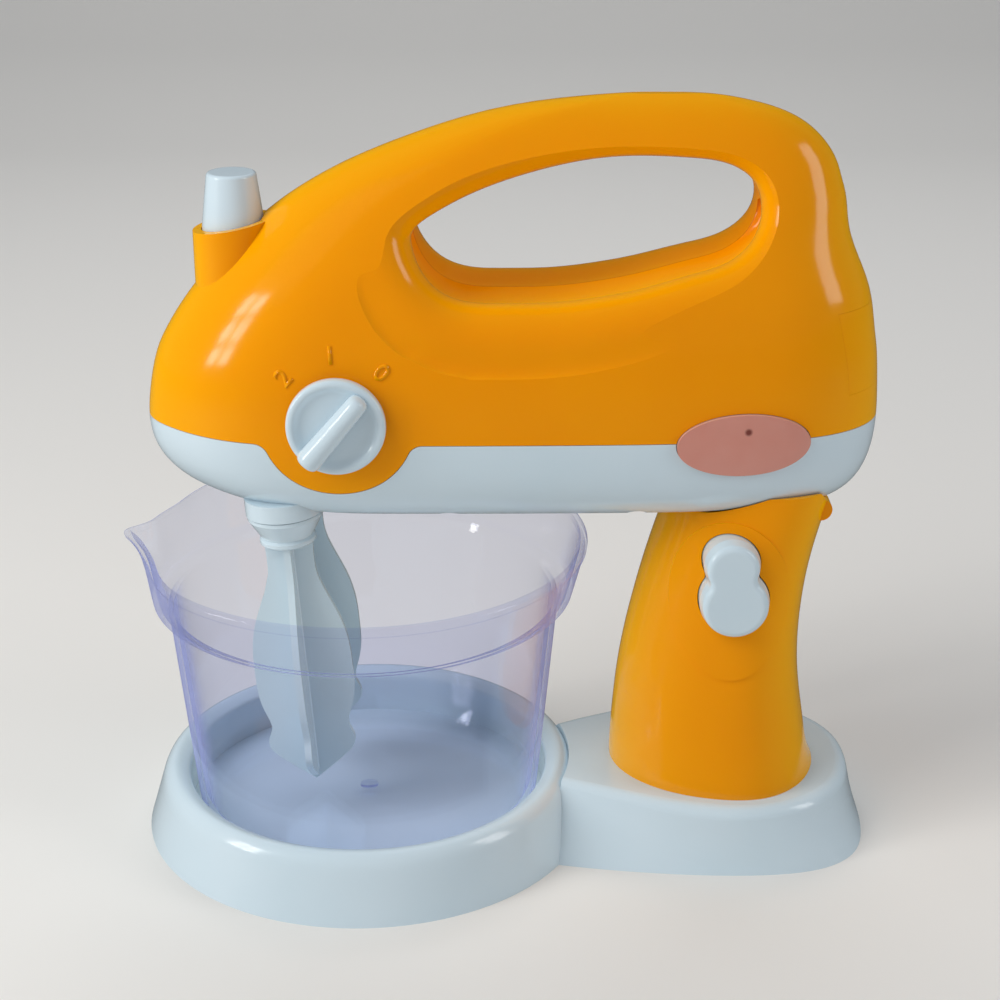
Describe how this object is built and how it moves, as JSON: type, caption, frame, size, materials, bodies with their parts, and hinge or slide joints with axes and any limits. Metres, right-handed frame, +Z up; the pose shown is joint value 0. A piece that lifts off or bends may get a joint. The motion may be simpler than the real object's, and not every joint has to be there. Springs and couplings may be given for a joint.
{
  "type": "toy stand mixer",
  "caption": "Toy stand mixer with tilting head, loop handle, two turning beaters, dial, nose button and a clear bowl on a round base",
  "frame": {"origin": "on the bowl's axis, on the surface that the base stands on", "axes": "+X from the nose to the rear, -Y the side with the dial, +Z up"},
  "size_m": [0.2048, 0.124, 0.2039],
  "materials": {
    "orange_abs": "glossy injection-moulded ABS, amber orange",
    "white_abs": "glossy injection-moulded ABS, cool white",
    "clear_ps": "clear polystyrene with a faint violet tint",
    "pink_lens": "translucent salmon-pink styrene",
    "nylon": "natural nylon",
    "black_plastic": "black ABS, as moulded",
    "board": "phenolic circuit board",
    "steel": "zinc-plated steel",
    "brass": "turned brass",
    "spring_steel": "spring steel wire",
    "cell_wrap": "printed film wrap, left plain",
    "lamp": "small round lamp, red resin"
  },
  "bodies": {
    "base": {"base_shell": "white_abs", "base_plate": "white_abs", "base_screws": "steel", "column_near": "orange_abs", "column_far": "orange_abs", "column_screws": "steel", "column_foot_screws": "steel", "hinge_pin": "steel", "release_spring": "spring_steel"},
    "bowl": {"bowl": "clear_ps"},
    "release_button": {"release_button": "white_abs"},
    "head": {"upper_housing_near": "orange_abs", "upper_housing_far": "orange_abs", "lower_housing": "white_abs", "lens_near": "pink_lens", "lens_far": "pink_lens", "mode_switch_board": "board", "mode_switch_screws": "steel", "start_spring": "spring_steel", "start_switch": "black_plastic", "motor_can": "steel", "motor_end_cap": "nylon", "gear_plate": "nylon", "gear_plate_screws": "steel", "light_board": "board", "light_near": "lamp", "light_far": "lamp", "battery_box": "black_plastic", "battery_cells": "cell_wrap", "battery_front_contact": "steel", "battery_springs": "spring_steel", "battery_rear_contact": "steel", "battery_cover": "orange_abs", "battery_cover_screw": "steel", "housing_screws": "steel", "lower_housing_screws": "steel"},
    "mode_knob": {"mode_knob": "white_abs", "mode_wiper": "spring_steel"},
    "start_button": {"start_button": "white_abs"},
    "beater_near": {"spindle_gear_near": "nylon", "beater_near": "white_abs"},
    "beater_far": {"spindle_gear_far": "nylon", "beater_far": "white_abs"},
    "motor_rotor": {"motor_pinion": "brass", "motor_shaft": "steel"}
  },
  "joints": [
    {"name": "head_tilt", "type": "hinge", "parent": "base", "child": "head", "pos_m": [0.122, 0, 0.0964], "axis": [0, 1, 0], "range_deg": [0, 40]},
    {"name": "beater_near_spin", "type": "hinge", "parent": "head", "child": "beater_near", "pos_m": [-0.0158, -0.0139, 0.05], "axis": [-0.0715, 0, 0.9974], "continuous": true},
    {"name": "beater_far_spin", "type": "hinge", "parent": "head", "child": "beater_far", "pos_m": [-0.0158, 0.0139, 0.05], "axis": [-0.0715, 0, 0.9974], "continuous": true},
    {"name": "motor_spin", "type": "hinge", "parent": "head", "child": "motor_rotor", "pos_m": [-0.0201, 0, 0.11], "axis": [-0.0715, 0, 0.9974], "continuous": true},
    {"name": "mode_knob_turn", "type": "hinge", "parent": "head", "child": "mode_knob", "pos_m": [-0.0037, -0.03, 0.1264], "axis": [0, -1, 0], "range_deg": [0, 90]},
    {"name": "start_button_press", "type": "slide", "parent": "head", "child": "start_button", "axis": [0, 0, -1], "range_m": [0, 0.0032], "stiffness_N_per_m": 180, "springref_m": -0.001, "deforming": ["start_spring"]},
    {"name": "release_press", "type": "slide", "parent": "base", "child": "release_button", "axis": [0, 1, 0], "range_m": [0, 0.003], "stiffness_N_per_m": 250, "springref_m": -0.001, "deforming": ["release_spring"]},
    {"name": "bowl_turn", "type": "hinge", "parent": "base", "child": "bowl", "pos_m": [0, 0, 0.005], "axis": [0, 0, 1], "continuous": true}
  ],
  "couplings": [
    {"joint": "beater_far_spin", "follows": "beater_near_spin", "ratio": 1},
    {"joint": "motor_spin", "follows": "beater_near_spin", "ratio": -1.6667}
  ]
}
